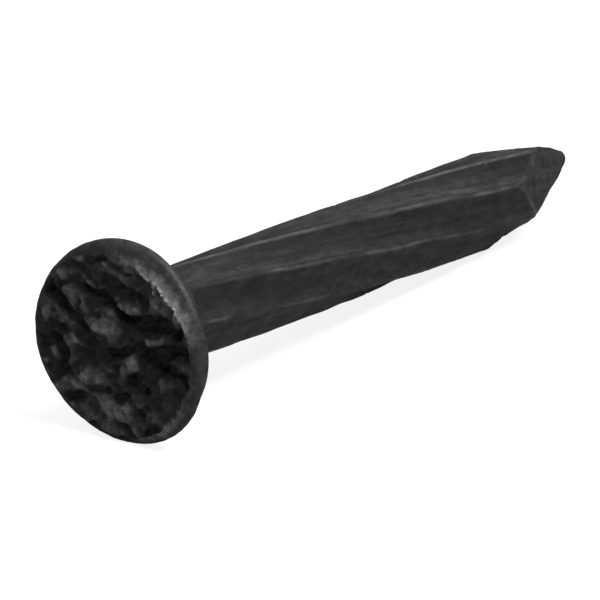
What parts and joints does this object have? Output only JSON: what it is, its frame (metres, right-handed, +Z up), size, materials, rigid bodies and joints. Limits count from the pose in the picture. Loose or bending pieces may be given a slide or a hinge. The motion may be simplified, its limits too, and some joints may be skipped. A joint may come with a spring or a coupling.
{
  "type": "fluted masonry spike",
  "caption": "Small hardened steel spike with a round checkered head, a plain neck, a spiral fluted shank and a blunt four-sided point.",
  "frame": {"origin": "on the surface that the spike lies on, under the middle of its bounding box", "axes": "the spike lies at rest: head towards -X, point towards +X, +Z up; the head's rim lifts that end, so the shank's axis dips about 5 degrees below +X towards the point"},
  "size_m": [0.0314, 0.0078, 0.0077],
  "materials": {
    "black_steel": "semi-matte black heat-treatment oxide on steel, worn on the crests and rim"
  },
  "bodies": {
    "root": {"head": "black_steel", "neck": "black_steel", "fluted_shank": "black_steel", "point": "black_steel"}
  },
  "joints": []
}
